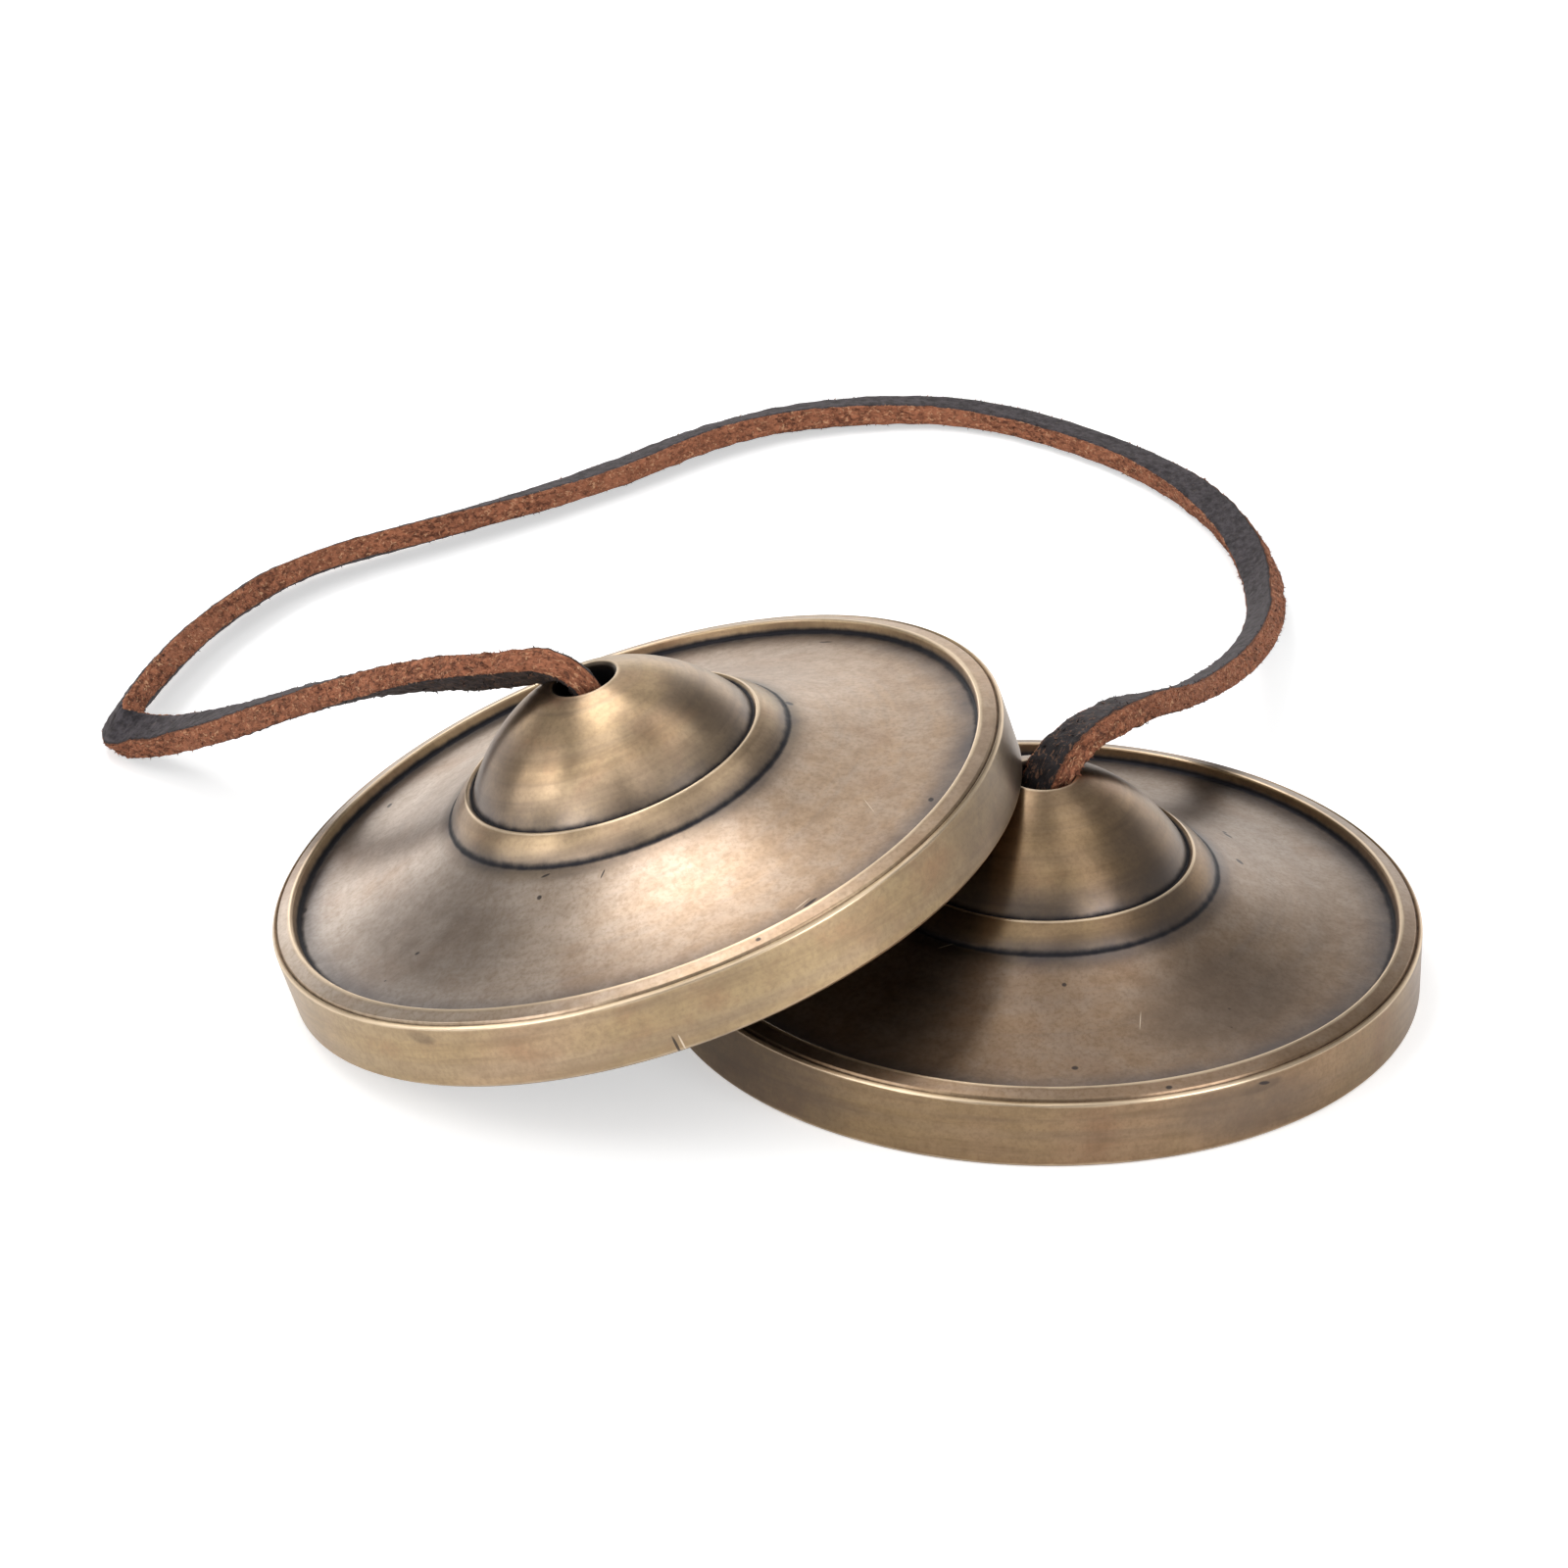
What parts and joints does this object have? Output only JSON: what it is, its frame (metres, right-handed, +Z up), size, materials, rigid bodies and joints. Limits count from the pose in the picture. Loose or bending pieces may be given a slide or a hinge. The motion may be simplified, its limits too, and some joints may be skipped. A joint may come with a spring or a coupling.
{
  "type": "tingsha cymbals",
  "caption": "Small thick turned bronze hand cymbals with domed centres, joined through their domes by a knotted leather thong and struck edge to edge to ring.",
  "frame": {"origin": "on the table, under the middle of the two cymbals together", "axes": "+X from the leaning cymbal towards the flat one, +Y back towards the thong's bow on the table, +Z up"},
  "size_m": [0.116, 0.149, 0.0305],
  "materials": {
    "bronze": "satin lathe-turned bronze, dark patina in the grooves and bright worn edges",
    "leather": "flat split-leather lace, charcoal faces and brown suede edges"
  },
  "bodies": {
    "lower_cymbal": {"lower_cymbal": "bronze"},
    "thong": {"thong": "leather", "lower_knot": "leather"},
    "upper_end": {"upper_knot": "leather"},
    "upper_cymbal": {"upper_cymbal": "bronze"}
  },
  "joints": [
    {"name": "lower_spin", "type": "hinge", "parent": "lower_cymbal", "child": "thong", "pos_m": [0.01636, 0, 0], "axis": [0, 0, 1], "continuous": true},
    {"name": "upper_tip", "type": "hinge", "parent": "thong", "child": "upper_end", "pos_m": [-0.04683, 0, 0], "axis": [0, -1, 0], "range_deg": [0, 70], "deforming": ["thong"]},
    {"name": "upper_spin", "type": "hinge", "parent": "upper_end", "child": "upper_cymbal", "pos_m": [-0.01618, 0, 0.00988], "axis": [-0.3068, 0, 0.9518], "continuous": true}
  ]
}
